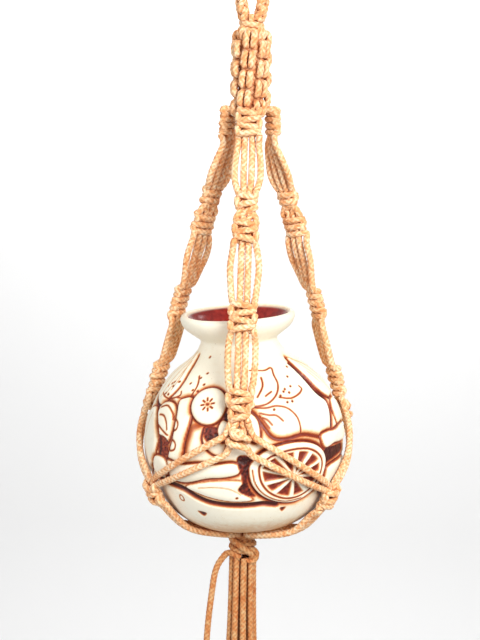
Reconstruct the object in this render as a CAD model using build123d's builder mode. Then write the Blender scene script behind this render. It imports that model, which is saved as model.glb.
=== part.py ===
"""Hanging macrame planter: a knotted cord hanger with three arms, a net cradle and a tassel,
carrying a round ceramic pot.

The origin is the top of the hanging loop's eye, where a hook bears. +Z is up and -Y is the front.
An azimuth is counted from the front, -Y, towards +X.
"""
import os
from math import acos, asin, atan2, cos, degrees, hypot, pi, radians, sin, sqrt, tan

from build123d import *

os.makedirs("parts", exist_ok=True)

# Driving dimensions, in millimetres and degrees. Heights named C_ are above the pot's centre.
CORD_D = 5.0                      # braided cord
CORD_R = CORD_D / 2
POT_R = 76.2                      # round body, over its raised decoration
POT_WALL = 6.0
POT_TILT = 4.0                    # the pot sits leaning towards -X
POT_CENTRE_Z = -380.0
GAP = 0.3                         # between the pot and the cords that hold it
CRADLE_R = POT_R + GAP + CORD_R   # centre lines of the cords lying on the pot

ARM_AZIMUTHS = {"front": 0.0, "right": 110.0, "left": -110.0}
ARM_TWISTS = {"front": 0.0, "right": 35.0, "left": -28.0}      # how far an upper knot faces round
JOINT_AZIMUTHS = {"right": 60.0, "back": 180.0, "left": -60.0}
ARM_TOP_R = 15.4                  # from the axis to an arm's hinge, under the crown
C_ARM_TOP = 228.0
ARM_LEAN = 16.4                   # an arm's slope from the vertical, a tangent to the pot

EYE_R = 15.0                      # centre line of the loop's round top
LOOP_R = 6.2                      # three plaited pairs of cord
LOOP_LEG_X = 6.4
BINDING_R = 9.6
C_BINDING = (316.0, 304.0)        # top and bottom
CROWN_R = 15.3
C_CROWN = (304.0, 246.0)
CROWN_LAYERS = 4
CROWN_WAIST = 2.0                 # how far the crown draws in between two layers
TURN_WAIST = 1.4                  # and a wound cord between two turns

HEAD_KNOT_SIZE = (17.0, 9.0)      # sideways, outward
KNOT_SIZE = (20.0, 9.6)
KNOT_OUT = 2.0                    # a knot stands out from its cords' line
KNOT_EDGE_R = 2.5
TUCK = 2.0                        # how far a cord runs into a knot
CORD_LANES = (-8.6, -2.75, 2.75, 8.6)
C_UPPER_KNOT = (189.0, 155.0)
C_MIDDLE_KNOT = (113.0, 92.0)
C_LOWER_KNOT = (53.0, 30.2)
HINGE_GAP = 1.5

C_GATHER = 20.0
GATHER_SIZE = (22.0, 10.0, 20.0)  # along the pot, off the pot, down the pot
JOINT_SIZE = (20.0, 10.0, 17.0)
JOINT_ELEVATION = -24.0
REACH = 80.0                      # an arm's net cords go to the joints no further round than this
LIFT_ROOM = 0.4                   # the net stands off the pot's widest level for the pot to lift past
NET_STARTS = {"upper": (9.6, 8.0), "lower": (3.2, 4.4)}      # azimuth from the arm, elevation
NET_ENDS = {"upper": (4.0, -22.2), "lower": (6.2, -25.9)}    # azimuth from the joint, elevation

UNDER_LANES = (-6.3, -2.1, 2.1, 6.3)          # azimuths beside each other at a joint knot
UNDER_FEET = (-45.0, -15.0, 15.0, 45.0)       # azimuths round the base knot
UNDER_STEPS = ((1.0, -28.0, 0.0), (1.2, -41.0, 1.0), (1.8, -53.0, 1.6))  # spread, elevation, off the pot
UNDER_FOOT_R, C_UNDER_FOOT = 10.6, -76.0

BASE_KNOT_R = 10.8
BASE_KNOT_TURNS = 3
C_BASE_KNOT = -70.0               # its top
C_TASSEL_PIVOT = -84.0
TASSEL_GAP = 0.8

POT_CENTRE = Vector(0, 0, POT_CENTRE_Z)
TASSEL_PIVOT = Vector(0, 0, POT_CENTRE_Z + C_TASSEL_PIVOT)


def save(part, name):
    """Label a finished piece and write it under its own name."""
    part.label = name
    export_step(part, f"parts/{name}.step")
    print(f"{name:24s} {part.volume / 1000:8.2f} cm3, {len(part.solids())} solid(s)")


def height(above_centre):
    """The row height of a height counted from the pot's centre."""
    return POT_CENTRE_Z + above_centre


def outward(azimuth):
    return Vector(sin(radians(azimuth)), -cos(radians(azimuth)), 0)


def sideways(azimuth):
    return Vector(cos(radians(azimuth)), sin(radians(azimuth)), 0)


def on_pot(azimuth, elevation, radius=CRADLE_R):
    """A point at this distance from the pot's centre."""
    level = radius * cos(radians(elevation))
    return POT_CENTRE + outward(azimuth) * level + Vector(0, 0, radius * sin(radians(elevation)))


def bend_radii(points):
    """Each corner's radius: 0.45 of its shorter run, over the tangent of half its turn."""
    radii = []
    for before, corner, after in zip(points, points[1:], points[2:]):
        run_in = Vector(*corner) - Vector(*before)
        run_out = Vector(*after) - Vector(*corner)
        turn = run_in.get_angle(run_out)
        radii.append(0.45 * min(run_in.length, run_out.length) / tan(radians(turn / 2)))
    return radii


def cord_path(points):
    """Straight runs joined by tangent arcs, for a BuildLine block."""
    FilletPolyline(*points, radius=bend_radii(points))


def sphere_plane(azimuth, elevation, radius):
    """A plane touching the sphere: X runs level along it, Y outward, Z down it."""
    down = outward(azimuth) * sin(radians(elevation)) + Vector(0, 0, -cos(radians(elevation)))
    return Plane(on_pot(azimuth, elevation, radius), x_dir=sideways(azimuth), z_dir=down)


# The pot: a round body on a small flat foot, a short neck and a flared rim.
tilt = radians(POT_TILT)
pot_axis = Axis(POT_CENTRE, (-sin(tilt), 0, cos(tilt)))
pot_section = Plane(POT_CENTRE, x_dir=(cos(tilt), 0, sin(tilt)), z_dir=(0, -1, 0))
foot_r, foot_y = 34.0, -62.0
heel_bend = (47.5, -56.4)
shoulder_y = 65.0
shoulder_r = sqrt(POT_R**2 - shoulder_y**2)
heel_y = -48.0
heel_r = sqrt(POT_R**2 - heel_y**2)
inner_r = POT_R - POT_WALL
neck_r, neck_y = 28.6, 77.0
shoulder_bend = (33.2, 70.0)
inner_neck_r = neck_r - POT_WALL + 1.0
inner_shoulder_y = sqrt(inner_r**2 - inner_neck_r**2)
inner_floor_r = 36.0
inner_floor_y = -sqrt(inner_r**2 - inner_floor_r**2)
floor_middle_y = inner_floor_y + 3.0
rim_r, rim_low, rim_top = 42.0, 91.5, 98.5
rim_bulge_r = 43.2
rim_inner_r = 38.0
flare_bend = (35.0, 83.4)
inner_flare_bend = (29.5, 88.0)

with BuildPart() as pot:
    with BuildSketch(pot_section):
        with BuildLine():
            Polyline((0, floor_middle_y), (0, foot_y), (foot_r, foot_y))
            ThreePointArc((foot_r, foot_y), heel_bend, (heel_r, heel_y))
            ThreePointArc((heel_r, heel_y), (POT_R, 0), (shoulder_r, shoulder_y))
            ThreePointArc((shoulder_r, shoulder_y), shoulder_bend, (neck_r, neck_y))
            ThreePointArc((neck_r, neck_y), flare_bend, (rim_r, rim_low))
            ThreePointArc((rim_r, rim_low), (rim_bulge_r, (rim_low + rim_top) / 2), (rim_r, rim_top))
            Line((rim_r, rim_top), (rim_inner_r, rim_top))
            ThreePointArc((rim_inner_r, rim_top), inner_flare_bend, (inner_neck_r, neck_y))
            Line((inner_neck_r, neck_y), (inner_neck_r, inner_shoulder_y))
            ThreePointArc((inner_neck_r, inner_shoulder_y), (inner_r, 0), (inner_floor_r, inner_floor_y))
            Line((inner_floor_r, inner_floor_y), (0, floor_middle_y))
        make_face()
    revolve(axis=pot_axis)
save(pot.part, "pot")

# The hanging loop: a plait bent over the hook, its two legs closing on the binding.
eye_centre_z = LOOP_R - EYE_R
leg_foot_z = height(C_BINDING[0]) - 1.0
foot_reach = hypot(LOOP_LEG_X, leg_foot_z - eye_centre_z)
tangent_angle = atan2(leg_foot_z - eye_centre_z, LOOP_LEG_X) + acos(EYE_R / foot_reach)
tangent_x = EYE_R * cos(tangent_angle)
tangent_z = eye_centre_z + EYE_R * sin(tangent_angle)
with BuildPart() as hanging_loop:
    with BuildLine() as loop_line:
        Line((-LOOP_LEG_X, 0, leg_foot_z), (-tangent_x, 0, tangent_z))
        ThreePointArc((-tangent_x, 0, tangent_z), (0, 0, LOOP_R), (tangent_x, 0, tangent_z))
        Line((tangent_x, 0, tangent_z), (LOOP_LEG_X, 0, leg_foot_z))
    with BuildSketch(Plane(loop_line.line @ 0, z_dir=loop_line.line % 0)):
        Circle(LOOP_R)
    sweep()
save(hanging_loop.part, "hanging_loop")


def stacked_turns(top, bottom, turn_r, waist, turns):
    """The half outline of turns of cord stacked on the axis, for a BuildLine block."""
    step = (top - bottom) / turns
    waist_r = turn_r - waist
    for turn in range(turns):
        turn_top = top - turn * step
        turn_bottom = turn_top - step
        ThreePointArc((waist_r, turn_top), (turn_r, (turn_top + turn_bottom) / 2), (waist_r, turn_bottom))
    Polyline((waist_r, bottom), (0, bottom), (0, top), (waist_r, top))


# The binding: the cords' own two turns under the loop.
binding_top, binding_bottom = height(C_BINDING[0]), height(C_BINDING[1])
with BuildPart() as loop_binding:
    with BuildSketch(Plane.XZ):
        with BuildLine():
            stacked_turns(binding_top, binding_bottom, BINDING_R, TURN_WAIST, 2)
        make_face()
    revolve(axis=Axis.Z)
save(loop_binding.part, "loop_binding")

# The crown: a round column of twelve cords, knotted in layers.
crown_top, crown_bottom = height(C_CROWN[0]), height(C_CROWN[1])
with BuildPart() as crown_sinnet:
    with BuildSketch(Plane.XZ):
        with BuildLine():
            stacked_turns(crown_top, crown_bottom, CROWN_R, CROWN_WAIST, CROWN_LAYERS)
        make_face()
    revolve(axis=Axis.Z)
save(crown_sinnet.part, "crown_sinnet")


def arm_plane(azimuth, twist=0.0):
    """A plane at an arm's hinge: X sideways, Y outward, Z down along the arm."""
    lean, turn = radians(ARM_LEAN), radians(twist)
    hinge = outward(azimuth) * ARM_TOP_R + Vector(0, 0, height(C_ARM_TOP))
    along = outward(azimuth) * sin(lean) - Vector(0, 0, cos(lean))
    off = outward(azimuth) * cos(lean) + Vector(0, 0, sin(lean))
    return Plane(hinge, x_dir=sideways(azimuth) * cos(turn) - off * sin(turn), z_dir=along)


def along_arm(above_centre):
    """The distance down an arm, from its hinge, of a height above the pot's centre."""
    return (C_ARM_TOP - above_centre) / cos(radians(ARM_LEAN))


def square_knot(name, plane, start, length, size=KNOT_SIZE, out=KNOT_OUT):
    """A square knot's outer shape, from this far along the plane's Z."""
    width, depth = size
    with BuildPart() as knot:
        with BuildSketch(plane.offset(start)):
            with Locations((0, out)):
                RectangleRounded(width, depth, depth * 0.42)
        extrude(amount=length)
        ends = knot.faces().filter_by(Axis(plane.origin, plane.z_dir))
        fillet(ends.edges(), radius=KNOT_EDGE_R)
    save(knot.part, name)


def cord_run(name, top_plane, start, bottom_plane, end):
    """An arm's four cords between two knots, which may face differently."""
    with BuildPart() as cords:
        for lane in CORD_LANES:
            top = top_plane.from_local_coords((lane, 0, start))
            bottom = bottom_plane.from_local_coords((lane, 0, end))
            with BuildLine() as cord_line:
                Line(top, bottom)
            with BuildSketch(Plane(cord_line.line @ 0, z_dir=cord_line.line % 0)):
                Circle(CORD_R)
            sweep()
    save(cords.part, name)


# The head knots: each arm's first square knot, fixed under the crown.
c_head_knot = C_CROWN[1] + 1.0
head_knot_r = ARM_TOP_R - 0.2
for arm, azimuth in ARM_AZIMUTHS.items():
    head_centre = outward(azimuth) * head_knot_r + Vector(0, 0, height(c_head_knot))
    head_plane = Plane(head_centre, x_dir=sideways(azimuth), z_dir=(0, 0, -1))
    square_knot(f"head_knot_{arm}", head_plane, 0, c_head_knot - C_ARM_TOP, HEAD_KNOT_SIZE, 0)

# The arms: runs of four cords between square knots, down to the gather knot on the pot.
upper_start, upper_end = along_arm(C_UPPER_KNOT[0]), along_arm(C_UPPER_KNOT[1])
middle_start, middle_end = along_arm(C_MIDDLE_KNOT[0]), along_arm(C_MIDDLE_KNOT[1])
lower_start, lower_end = along_arm(C_LOWER_KNOT[0]), along_arm(C_LOWER_KNOT[1])
gather_elevation = degrees(asin(C_GATHER / (CRADLE_R + CORD_R)))
for arm, azimuth in ARM_AZIMUTHS.items():
    plane = arm_plane(azimuth)
    twisted = arm_plane(azimuth, ARM_TWISTS[arm])
    cord_run(f"upper_cords_{arm}", plane, HINGE_GAP, twisted, upper_start + TUCK)
    square_knot(f"upper_knot_{arm}", twisted, upper_start, upper_end - upper_start)
    cord_run(f"middle_cords_{arm}", twisted, upper_end - TUCK, plane, middle_start + TUCK)
    square_knot(f"middle_knot_{arm}", plane, middle_start, middle_end - middle_start)
    cord_run(f"lower_cords_{arm}", plane, middle_end - TUCK, plane, lower_start + TUCK)
    square_knot(f"lower_knot_{arm}", plane, lower_start, lower_end - lower_start)
    across, depth, down = GATHER_SIZE
    gather_plane = sphere_plane(azimuth, gather_elevation, CRADLE_R + CORD_R)
    square_knot(f"gather_knot_{arm}", gather_plane, -down / 2, down, (across, depth), 0)

# The net: a pair of cords from each gather knot round the pot to the joint knot on either side.
for arm, azimuth in ARM_AZIMUTHS.items():
    for joint, joint_azimuth in JOINT_AZIMUTHS.items():
        span = (joint_azimuth - azimuth + 180) % 360 - 180
        if abs(span) > REACH:
            continue
        side = 1 if span > 0 else -1
        with BuildPart() as net_cords:
            for cord in NET_STARTS:
                start_turn, start_elevation = NET_STARTS[cord]
                end_turn, end_elevation = NET_ENDS[cord]
                start_radius = (CRADLE_R + LIFT_ROOM) / cos(radians(start_elevation))
                start = on_pot(azimuth + side * start_turn, start_elevation, start_radius)
                end = on_pot(azimuth + span - side * end_turn, end_elevation)
                halfway = ((start + end) / 2 - POT_CENTRE).normalized()
                middle = POT_CENTRE + halfway * (CRADLE_R + LIFT_ROOM)
                with BuildLine() as cord_line:
                    ThreePointArc(start, middle, end)
                with BuildSketch(Plane(cord_line.line @ 0, z_dir=cord_line.line % 0)):
                    Circle(CORD_R)
                sweep()
        save(net_cords.part, f"net_cords_{arm}_to_{joint}")

# The joint knots, and from each the four cords that run under the pot to the base knot.
for joint, azimuth in JOINT_AZIMUTHS.items():
    across, depth, down = JOINT_SIZE
    joint_plane = sphere_plane(azimuth, JOINT_ELEVATION, CRADLE_R + CORD_R)
    square_knot(f"joint_knot_{joint}", joint_plane, -down / 2, down, (across, depth), 0)
    with BuildPart() as under_cords:
        for lane, foot in zip(UNDER_LANES, UNDER_FEET):
            route = []
            for spread, elevation, off in UNDER_STEPS:
                route.append(on_pot(azimuth + lane * spread, elevation, CRADLE_R + off))
            foot_place = outward(azimuth + foot) * UNDER_FOOT_R
            route.append(foot_place + Vector(0, 0, height(C_UNDER_FOOT)))
            with BuildLine() as cord_line:
                cord_path(route)
            with BuildSketch(Plane(cord_line.line @ 0, z_dir=cord_line.line % 0)):
                Circle(CORD_R)
            sweep()
    save(under_cords.part, f"under_cords_{joint}")

# The base knot: all the cords bound together, with a round bottom that the tassel swings about.
knot_top, pivot_z = height(C_BASE_KNOT), TASSEL_PIVOT.Z
with BuildPart() as base_knot:
    with BuildSketch(Plane.XZ):
        with BuildLine():
            stacked_turns(knot_top, pivot_z, BASE_KNOT_R, TURN_WAIST, BASE_KNOT_TURNS)
        make_face()
    revolve(axis=Axis.Z)
    with Locations(TASSEL_PIVOT):
        Sphere(BASE_KNOT_R)
save(base_knot.part, "base_knot")

# The tassel: the twelve cords hanging free under the base knot, and the binding's loose end.
# Each route is from the pot's centre, the way the cord falls.
TASSEL_ROUTES = [
    [(2.6, 1.5, -93), (2.8, 1.7, -130), (3.3, 1.6, -168), (4.2, 2.0, -206), (4.8, 2.6, -244)],
    [(-2.6, 1.5, -93), (-2.9, 1.6, -128), (-3.3, 2.2, -165), (-3.9, 2.4, -203), (-4.8, 2.2, -240)],
    [(0, -3.0, -93), (0.2, -3.3, -131), (-0.2, -4.0, -170), (0.3, -4.6, -209), (0.9, -5.6, -249)],
    [(8.2, 0.2, -91), (8.6, 0.3, -128), (9.9, 0.2, -166), (12.0, 0.8, -204), (13.2, 1.6, -242)],
    [(6.3, 5.3, -91), (6.6, 5.6, -127), (7.6, 6.2, -164), (9.0, 7.9, -201), (9.8, 9.6, -238)],
    [(1.4, 8.1, -91), (1.5, 8.5, -129), (1.8, 9.9, -168), (2.6, 11.4, -207), (2.5, 13.1, -246)],
    [(-4.1, 7.1, -91), (-4.3, 7.5, -126), (-5.3, 8.4, -162), (-6.0, 10.1, -198), (-7.4, 11.4, -234)],
    [(-7.7, 2.8, -91), (-8.1, 2.9, -130), (-9.4, 3.6, -169), (-11.0, 3.9, -209), (-12.6, 4.8, -248)],
    [(-7.7, -2.8, -91), (-8.0, -3.0, -128), (-9.2, -3.2, -166), (-11.1, -4.2, -204), (-12.2, -4.4, -243)],
    [(-4.1, -7.1, -91), (-4.4, -7.4, -130), (-5.0, -8.7, -170), (-6.3, -9.9, -210), (-7.0, -11.6, -251)],
    [(1.4, -8.1, -91), (1.4, -8.5, -127), (2.1, -9.7, -164), (2.0, -11.5, -202), (2.9, -12.8, -239)],
    [(6.3, -5.3, -91), (6.6, -5.5, -129), (7.7, -6.6, -167), (8.7, -7.8, -206), (10.2, -8.8, -246)],
]
WRAP_TAIL_ROUTE = [
    (-12.6, -4.6, -89), (-17.6, -6.0, -94.6), (-21.0, -7.2, -104), (-22.6, -8.2, -118),
    (-25.0, -9.2, -139), (-26.6, -9.6, -164), (-26.2, -8.8, -190),
]


def free_cord(name, route):
    """A free cord's tube, its top kept clear of the base knot's round bottom."""
    points = [POT_CENTRE + Vector(*point) for point in route]
    with BuildPart() as cord:
        with BuildLine() as cord_line:
            cord_path(points)
        with BuildSketch(Plane(cord_line.line @ 0, z_dir=cord_line.line % 0)):
            Circle(CORD_R)
        sweep()
        length = sum(edge.length for edge in cord_line.edges())
        volume_ratio = cord.part.volume / (length * pi * CORD_R**2)
        with Locations(TASSEL_PIVOT):
            Sphere(BASE_KNOT_R + TASSEL_GAP, mode=Mode.SUBTRACT)
    radii = ", ".join(f"{radius:.0f}" for radius in bend_radii(points))
    print(f"{name}: length {length:.1f}, radii {radii}, volume over section x length {volume_ratio:.4f}")
    save(cord.part, name)


for number, route in enumerate(TASSEL_ROUTES, start=1):
    free_cord(f"tassel_cord_{number:02d}", route)
free_cord("wrap_tail", WRAP_TAIL_ROUTE)
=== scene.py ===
"""The looks of the hanging macrame planter: braided cords along their real routes, and a decorated pot.

Lengths are in millimetres, as in the CAD model, until a mesh is made: then they become metres.
Heights called c_ are above the pot's centre. Azimuths are counted from the front, -Y, towards +X.
"""
import functools
import math

import bpy
import numpy as np
from mathutils import Matrix, Vector


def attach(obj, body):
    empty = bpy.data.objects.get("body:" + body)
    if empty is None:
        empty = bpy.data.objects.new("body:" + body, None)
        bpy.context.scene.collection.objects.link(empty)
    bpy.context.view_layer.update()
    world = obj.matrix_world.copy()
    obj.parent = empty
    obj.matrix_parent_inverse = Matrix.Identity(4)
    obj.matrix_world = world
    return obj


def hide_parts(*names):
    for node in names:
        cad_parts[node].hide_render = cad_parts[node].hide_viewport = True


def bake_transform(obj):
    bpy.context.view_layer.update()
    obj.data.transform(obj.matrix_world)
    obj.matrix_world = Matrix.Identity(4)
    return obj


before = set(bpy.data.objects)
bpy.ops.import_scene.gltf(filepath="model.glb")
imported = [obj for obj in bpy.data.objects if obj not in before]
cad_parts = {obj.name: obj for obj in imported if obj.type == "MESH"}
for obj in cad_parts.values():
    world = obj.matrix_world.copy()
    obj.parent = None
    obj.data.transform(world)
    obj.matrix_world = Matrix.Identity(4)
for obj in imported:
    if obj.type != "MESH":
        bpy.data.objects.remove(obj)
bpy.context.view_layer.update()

MM = 0.001
CORD_R = 2.5
POT_Z = -380.0
CRADLE_R = 79.0                   # centre lines of the cords that lie on the pot
POT_TILT = math.radians(4.0)
ARMS = {"front": 0.0, "right": 110.0, "left": -110.0}
JOINTS = {"right": 60.0, "back": 180.0, "left": -60.0}
ARM_TOP_R, C_ARM_TOP = 15.4, 228.0
ARM_LEAN = math.radians(16.4)
ARM_TWISTS = {0.0: 0.0, 110.0: 35.0, -110.0: -28.0}   # how far an arm's upper knot faces round
TWIST_HEIGHTS, TWIST_SHARES = (113, 155, 189, 228), (0, 1, 1, 0)
HEAD_LEAN = 0.05                  # how fast an arm's head leans in to the crown
C_ON_POT = 22.3                   # below this an arm follows the pot
JOINT_ELEVATION = -24.0
RING_STEP = 0.85                  # between a cord mesh's rings
SIDES = 16
NURBS_ORDER, NURBS_STEPS = 3, 10
random = np.random.default_rng(7)

CAMERA_DISTANCE, C_CAMERA_AIM = 1200.0, 92.5
CAMERA_PITCH, CAMERA_TURN, CAMERA_ROLL = math.radians(9.7), math.radians(3.0), math.radians(1.0)
LENS_LENGTH, SENSOR_HEIGHT, LENS_SHIFT = 90.0, 36.0, -0.0104


# ---- camera and objects

def add_object(name, data):
    """An object of this data, in the scene."""
    piece = bpy.data.objects.new(name, data)
    bpy.context.collection.objects.link(piece)
    return piece


def add_mesh(name, places, faces, material, attributes=None):
    """A smooth mesh object, with named values or vectors at its points."""
    mesh = bpy.data.meshes.new(name)
    mesh.from_pydata(places.tolist(), [], faces)
    for attribute, values in (attributes or {}).items():
        kind, field = ("FLOAT_VECTOR", "vector") if values.ndim == 2 else ("FLOAT", "value")
        layer = mesh.attributes.new(attribute, kind, "POINT")
        layer.data.foreach_set(field, values.astype(np.float32).ravel())
    mesh.polygons.foreach_set("use_smooth", [True] * len(mesh.polygons))
    mesh.materials.append(material)
    return add_object(name, mesh)


def make_camera():
    """A long lens a little above the rim's height, a little to the right of the front arm."""
    camera = add_object("camera", bpy.data.cameras.new("camera"))
    back = Vector((math.sin(CAMERA_TURN) * math.cos(CAMERA_PITCH),
                   -math.cos(CAMERA_TURN) * math.cos(CAMERA_PITCH), math.sin(CAMERA_PITCH)))
    place = (Vector((0.0, 0.0, POT_Z + C_CAMERA_AIM)) + back * CAMERA_DISTANCE) * MM
    look = (-back).to_track_quat("-Z", "Y").to_matrix().to_4x4()
    camera.matrix_world = Matrix.Translation(place) @ look @ Matrix.Rotation(CAMERA_ROLL, 4, "Z")
    camera.data.sensor_fit = "VERTICAL"
    camera.data.sensor_height = SENSOR_HEIGHT
    camera.data.lens = LENS_LENGTH
    camera.data.shift_x = LENS_SHIFT
    bpy.context.scene.camera = camera


# ---- paths

def outward(azimuth):
    return np.array([math.sin(math.radians(azimuth)), -math.cos(math.radians(azimuth)), 0.0])


def sideways(azimuth):
    return np.array([math.cos(math.radians(azimuth)), math.sin(math.radians(azimuth)), 0.0])


UP = np.array([0.0, 0.0, 1.0])
POT_CENTRE = POT_Z * UP


def on_pot(azimuth, elevation, radius=CRADLE_R):
    level = radius * math.cos(math.radians(elevation))
    return POT_CENTRE + outward(azimuth) * level + UP * radius * math.sin(math.radians(elevation))


def on_arm(azimuth, side, out, c_height):
    """A point beside and off an arm's line at this height above the pot's centre."""
    twist = math.radians(ARM_TWISTS[azimuth] * np.interp(c_height, TWIST_HEIGHTS, TWIST_SHARES))
    side, out = (side * math.cos(twist) + out * math.sin(twist),
                 out * math.cos(twist) - side * math.sin(twist))
    if c_height >= C_ARM_TOP:
        base = outward(azimuth) * (ARM_TOP_R - HEAD_LEAN * (c_height - C_ARM_TOP))
        return base + sideways(azimuth) * side + outward(azimuth) * out + UP * (POT_Z + c_height)
    if c_height >= C_ON_POT:
        reach = ARM_TOP_R + (C_ARM_TOP - c_height) * math.tan(ARM_LEAN)
        normal = outward(azimuth) * math.cos(ARM_LEAN) + UP * math.sin(ARM_LEAN)
        return outward(azimuth) * reach + UP * (POT_Z + c_height) + sideways(azimuth) * side + normal * out
    elevation = math.degrees(math.asin(c_height / CRADLE_R))
    turn = math.degrees(side / (CRADLE_R * math.cos(math.radians(elevation))))
    return on_pot(azimuth + turn, elevation, CRADLE_R + out)


def near_joint(azimuth, side, out, up):
    """A point beside, off and above a joint knot's middle."""
    elevation = JOINT_ELEVATION + math.degrees(up / CRADLE_R)
    turn = math.degrees(side / (CRADLE_R * math.cos(math.radians(elevation))))
    return on_pot(azimuth + turn, elevation, CRADLE_R + out)


def nurbs_line(controls):
    """Points of the smooth line that a NURBS spline draws from these control points."""
    curve = bpy.data.curves.new("route", "CURVE")
    curve.dimensions = "3D"
    spline = curve.splines.new("NURBS")
    spline.points.add(len(controls) - 1)
    for point, place in zip(spline.points, controls):
        point.co = (*place, 1.0)
    spline.order_u = NURBS_ORDER
    spline.use_endpoint_u = True
    spline.resolution_u = NURBS_STEPS
    holder = bpy.data.objects.new("route", curve)
    mesh = bpy.data.meshes.new_from_object(holder)
    line = np.array([vertex.co[:] for vertex in mesh.vertices])
    bpy.data.objects.remove(holder)
    bpy.data.meshes.remove(mesh)
    return line


def evenly(line, step=RING_STEP):
    """The same line with points about this far apart, and each point's distance along it."""
    along = np.concatenate([[0.0], np.cumsum(np.linalg.norm(np.diff(line, axis=0), axis=1))])
    count = max(4, int(round(along[-1] / step)) + 1)
    distances = np.linspace(0.0, along[-1], count)
    return np.stack([np.interp(distances, along, line[:, axis]) for axis in range(3)], axis=1), distances


def cord_line(controls):
    """Even points of a cord's smooth line."""
    return evenly(nurbs_line(controls))[0]


def turning_frames(line):
    """Two unit vectors across the line at each point, carried along it without twist."""
    tangents = np.gradient(line, axis=0)
    tangents /= np.linalg.norm(tangents, axis=1)[:, None]
    across = np.cross(tangents[0], [0.31, 0.62, 0.72])
    across /= np.linalg.norm(across)
    firsts = []
    for tangent in tangents:
        across = across - tangent * across.dot(tangent)
        across /= np.linalg.norm(across)
        firsts.append(across)
    firsts = np.array(firsts)
    return firsts, np.cross(tangents, firsts)


# ---- braided cord meshes

BRAID_BUMPS = 4                   # bumps round a cord in each row
BRAID_PITCH = 3.6                 # two rows of the braid
BRAID_HEIGHT = 0.24
END_ROUNDING = 0.75               # how far a bare end closes
C_SHADE_UNDER_POT, SHADE_UNDER_POT_FADE = -58.0, 18.0     # painted shade: below here the cord is painted darker and browner
# Painted shade on the crown, fading in above this height.
C_SHADED_CROWN, SHADED_CROWN_FADE, CROWN_PAINTED_SHADE = 222.0, 24.0, 0.15


class CordMesh:
    """Collects braided cords, then makes one mesh object of them."""

    def __init__(self):
        self.places, self.faces, self.cells, self.count = [], [], [], 0

    def add(self, line, radius=CORD_R, start=0.0, strand=None, taper=0.0):
        """Adds a cord along evenly spaced points. start is the braid's own distance at the first."""
        line = np.asarray(line, float)
        steps = np.linalg.norm(np.diff(line, axis=0), axis=1)
        along = start + np.concatenate([[0.0], np.cumsum(steps)])
        strand = random.random() if strand is None else strand
        first, second = turning_frames(line)
        angle = np.linspace(0.0, 2 * math.pi, SIDES, endpoint=False)
        braid = np.cos(BRAID_BUMPS * angle)[None, :] * np.cos(2 * math.pi / BRAID_PITCH * along)[:, None]
        reach = radius - BRAID_HEIGHT / 2 + BRAID_HEIGHT * braid
        if taper:
            left = np.clip((along[-1] - along) / taper, 0.0, 1.0)
            reach = reach * np.sqrt(1 - (1 - left) ** 2 * END_ROUNDING)[:, None]
        ring = np.cos(angle)[None, :, None] * first[:, None] + np.sin(angle)[None, :, None] * second[:, None]
        places = line[:, None] + ring * reach[..., None]
        rows = len(line)
        base = self.count
        index = base + np.arange(rows * SIDES).reshape(rows, SIDES)
        after = np.roll(index, -1, axis=1)
        quads = np.stack([index[:-1], after[:-1], after[1:], index[1:]], axis=-1).reshape(-1, 4)
        self.faces += [tuple(quad) for quad in quads.tolist()]
        self.faces.append(tuple(index[0][::-1].tolist()))
        self.faces.append(tuple(index[-1].tolist()))
        self.places.append(places.reshape(-1, 3))
        cells = np.zeros((rows, SIDES, 3))
        cells[..., 0] = along[:, None]
        cells[..., 1] = angle[None, :] * radius
        cells[..., 2] = strand
        self.cells.append(np.concatenate([cells, braid[..., None]], axis=-1).reshape(-1, 4))
        self.count += rows * SIDES

    def make(self, node, body=None, ending="braid"):
        """The mesh object, riding on a body in place of this CAD node."""
        places, cells = np.concatenate(self.places), np.concatenate(self.cells)
        level = places[:, 2] - POT_Z
        # Painted shade: cords below the pot and, a little, on the crown are darkened.
        shade_under_pot = np.clip((C_SHADE_UNDER_POT - level) / SHADE_UNDER_POT_FADE, 0.0, 1.0)
        crown = np.clip((level - C_SHADED_CROWN) / SHADED_CROWN_FADE, 0.0, 1.0)
        piece = add_mesh(f"{node}_{ending}", places * MM, self.faces, cord_material(), {
            "braid_cell": cells[:, :3], "braid_bump": cells[:, 3],
            "braid_painted_shade": shade_under_pot + CROWN_PAINTED_SHADE * crown})
        if body:
            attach(piece, body)
        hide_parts(node)
        return piece


# ---- materials

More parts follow.
